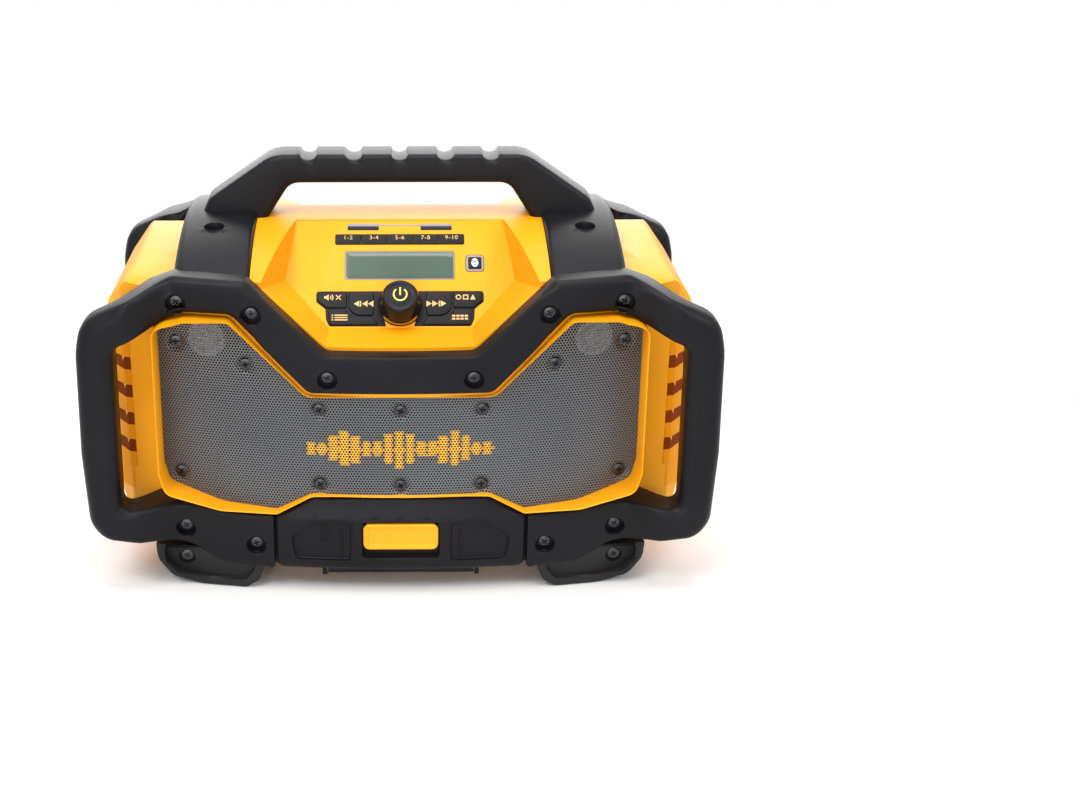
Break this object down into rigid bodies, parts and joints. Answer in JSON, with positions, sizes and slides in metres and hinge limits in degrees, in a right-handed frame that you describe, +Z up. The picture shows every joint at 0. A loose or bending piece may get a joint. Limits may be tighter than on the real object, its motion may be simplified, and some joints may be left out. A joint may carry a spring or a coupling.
{
  "type": "jobsite radio",
  "caption": "Rugged jobsite radio with a bumper cage, grab loops, top handle, perforated speaker grille, sloping control deck, battery bay and covered outlets.",
  "frame": {"origin": "on the floor under the middle of the radio's box without its cord", "axes": "+X to the radio's right as seen from the front, +Y to the back, +Z up"},
  "size_m": [0.475, 0.27, 0.314],
  "materials": {
    "yellow_shell": "satin moulded plastic",
    "black_shell": "fine matt moulded plastic",
    "black_rubber": "matt rubber",
    "grille_steel": "perforated steel, satin",
    "screw_steel": "blackened steel",
    "pin_steel": "plain steel",
    "display_window": "glossy grey-green display window",
    "module": "plain plastic",
    "board": "circuit board",
    "contact_brass": "contact strip",
    "outlet_plastic": "moulded insulator",
    "cone": "coated paper cone and steel basket",
    "tweeter_metal": "bright metal dome",
    "transformer": "painted steel case",
    "cord_rubber": "rubber cord sheath"
  },
  "bodies": {
    "radio": {"front_cage": "black_shell", "rear_cage": "black_shell", "left_shoulder": "black_shell", "right_shoulder": "black_shell", "top_handle": "black_shell", "front_housing": "yellow_shell", "rear_housing": "yellow_shell", "grille_trim": "yellow_shell", "speaker_grille": "grille_steel", "front_feet": "black_rubber", "rear_feet": "black_rubber", "grille_screws": "screw_steel", "cage_screws": "screw_steel", "shoulder_bolts": "screw_steel", "display_lens": "display_window", "display_module": "module", "panel_inlay": "black_shell", "keypad_mats": "black_rubber", "encoder_body": "module", "main_board": "board", "door_pin": "pin_steel", "storage_bin": "black_shell", "port_panel": "module", "battery_bay": "black_shell", "battery_terminals": "contact_brass", "battery_door_pin": "pin_steel", "socket_plate": "black_shell", "outlets": "outlet_plastic", "cover_pins": "pin_steel", "woofers": "cone", "tweeters": "tweeter_metal", "power_supply": "transformer", "cord_coil": "cord_rubber", "cord_tail": "cord_rubber", "cord_lead": "cord_rubber", "mains_plug": "cord_rubber", "cord_hooks": "black_shell", "plug_clip": "black_shell", "cord_gland": "black_shell"},
    "storage_door": {"front_door": "black_shell"},
    "door_latch": {"door_latch": "yellow_shell"},
    "battery_door": {"battery_door": "black_shell"},
    "battery_latch": {"battery_latch": "black_shell"},
    "cover_lower": {"outlet_cover_lower": "black_shell"},
    "cover_upper": {"outlet_cover_upper": "black_shell"},
    "knob_push": {"encoder_sleeve": "module"},
    "knob": {"knob": "black_shell", "knob_shaft": "pin_steel"},
    "mute_key_body": {"mute_key": "black_rubber"},
    "menu_key_body": {"menu_key": "black_rubber"},
    "previous_key_body": {"previous_key": "black_rubber"},
    "mode_key_body": {"mode_key": "black_rubber"},
    "memory_key_body": {"memory_key": "black_rubber"},
    "next_key_body": {"next_key": "black_rubber"},
    "preset_button_1_body": {"preset_button_1": "black_rubber"},
    "preset_button_2_body": {"preset_button_2": "black_rubber"},
    "preset_button_3_body": {"preset_button_3": "black_rubber"},
    "preset_button_4_body": {"preset_button_4": "black_rubber"},
    "preset_button_5_body": {"preset_button_5": "black_rubber"},
    "wireless_button_body": {"wireless_button": "black_rubber"}
  },
  "joints": [
    {"name": "storage_door_hinge", "type": "hinge", "parent": "radio", "child": "storage_door", "pos_m": [0, -0.121, 0.0156], "axis": [1, 0, 0], "range_deg": [0, 90]},
    {"name": "door_latch_hinge", "type": "hinge", "parent": "storage_door", "child": "door_latch", "pos_m": [0, -0.1326, 0.0574], "axis": [-1, 0, 0], "range_deg": [0, 22], "stiffness_Nm_per_rad": 0.05, "springref_deg": -5.73},
    {"name": "battery_door_hinge", "type": "hinge", "parent": "radio", "child": "battery_door", "pos_m": [-0.226, 0.01, 0.1904], "axis": [0, 1, 0], "range_deg": [0, 110]},
    {"name": "battery_latch_slide", "type": "slide", "parent": "battery_door", "child": "battery_latch", "axis": [0, 0, 1], "range_m": [0, 0.004], "stiffness_N_per_m": 800, "springref_m": -0.0005},
    {"name": "cover_lower_hinge", "type": "hinge", "parent": "radio", "child": "cover_lower", "pos_m": [0.2264, 0.01, 0.1106], "axis": [0, -1, 0], "range_deg": [0, 110], "stiffness_Nm_per_rad": 0.01, "springref_deg": -17.19},
    {"name": "cover_upper_hinge", "type": "hinge", "parent": "radio", "child": "cover_upper", "pos_m": [0.2264, 0.01, 0.1776], "axis": [0, -1, 0], "range_deg": [0, 110], "stiffness_Nm_per_rad": 0.01, "springref_deg": -17.19},
    {"name": "knob_press", "type": "slide", "parent": "radio", "child": "knob_push", "axis": [0, 0.7547, -0.6561], "range_m": [0, 0.0008], "stiffness_N_per_m": 2500},
    {"name": "knob_turn", "type": "hinge", "parent": "knob_push", "child": "knob", "pos_m": [0, -0.07178, 0.21407], "axis": [0, -0.7547, 0.6561], "continuous": true},
    {"name": "mute_key_press", "type": "slide", "parent": "radio", "child": "mute_key_body", "axis": [0, 0.7547, -0.6561], "range_m": [0, 0.001], "stiffness_N_per_m": 1500},
    {"name": "menu_key_press", "type": "slide", "parent": "radio", "child": "menu_key_body", "axis": [0, 0.7547, -0.6561], "range_m": [0, 0.001], "stiffness_N_per_m": 1500},
    {"name": "previous_key_press", "type": "slide", "parent": "radio", "child": "previous_key_body", "axis": [0, 0.7547, -0.6561], "range_m": [0, 0.001], "stiffness_N_per_m": 1500},
    {"name": "mode_key_press", "type": "slide", "parent": "radio", "child": "mode_key_body", "axis": [0, 0.7547, -0.6561], "range_m": [0, 0.001], "stiffness_N_per_m": 1500},
    {"name": "memory_key_press", "type": "slide", "parent": "radio", "child": "memory_key_body", "axis": [0, 0.7547, -0.6561], "range_m": [0, 0.001], "stiffness_N_per_m": 1500},
    {"name": "next_key_press", "type": "slide", "parent": "radio", "child": "next_key_body", "axis": [0, 0.7547, -0.6561], "range_m": [0, 0.001], "stiffness_N_per_m": 1500},
    {"name": "preset_button_1_press", "type": "slide", "parent": "radio", "child": "preset_button_1_body", "axis": [0, 0.7547, -0.6561], "range_m": [0, 0.001], "stiffness_N_per_m": 1500},
    {"name": "preset_button_2_press", "type": "slide", "parent": "radio", "child": "preset_button_2_body", "axis": [0, 0.7547, -0.6561], "range_m": [0, 0.001], "stiffness_N_per_m": 1500},
    {"name": "preset_button_3_press", "type": "slide", "parent": "radio", "child": "preset_button_3_body", "axis": [0, 0.7547, -0.6561], "range_m": [0, 0.001], "stiffness_N_per_m": 1500},
    {"name": "preset_button_4_press", "type": "slide", "parent": "radio", "child": "preset_button_4_body", "axis": [0, 0.7547, -0.6561], "range_m": [0, 0.001], "stiffness_N_per_m": 1500},
    {"name": "preset_button_5_press", "type": "slide", "parent": "radio", "child": "preset_button_5_body", "axis": [0, 0.7547, -0.6561], "range_m": [0, 0.001], "stiffness_N_per_m": 1500},
    {"name": "wireless_button_press", "type": "slide", "parent": "radio", "child": "wireless_button_body", "axis": [0, 0.7547, -0.6561], "range_m": [0, 0.001], "stiffness_N_per_m": 1500}
  ]
}
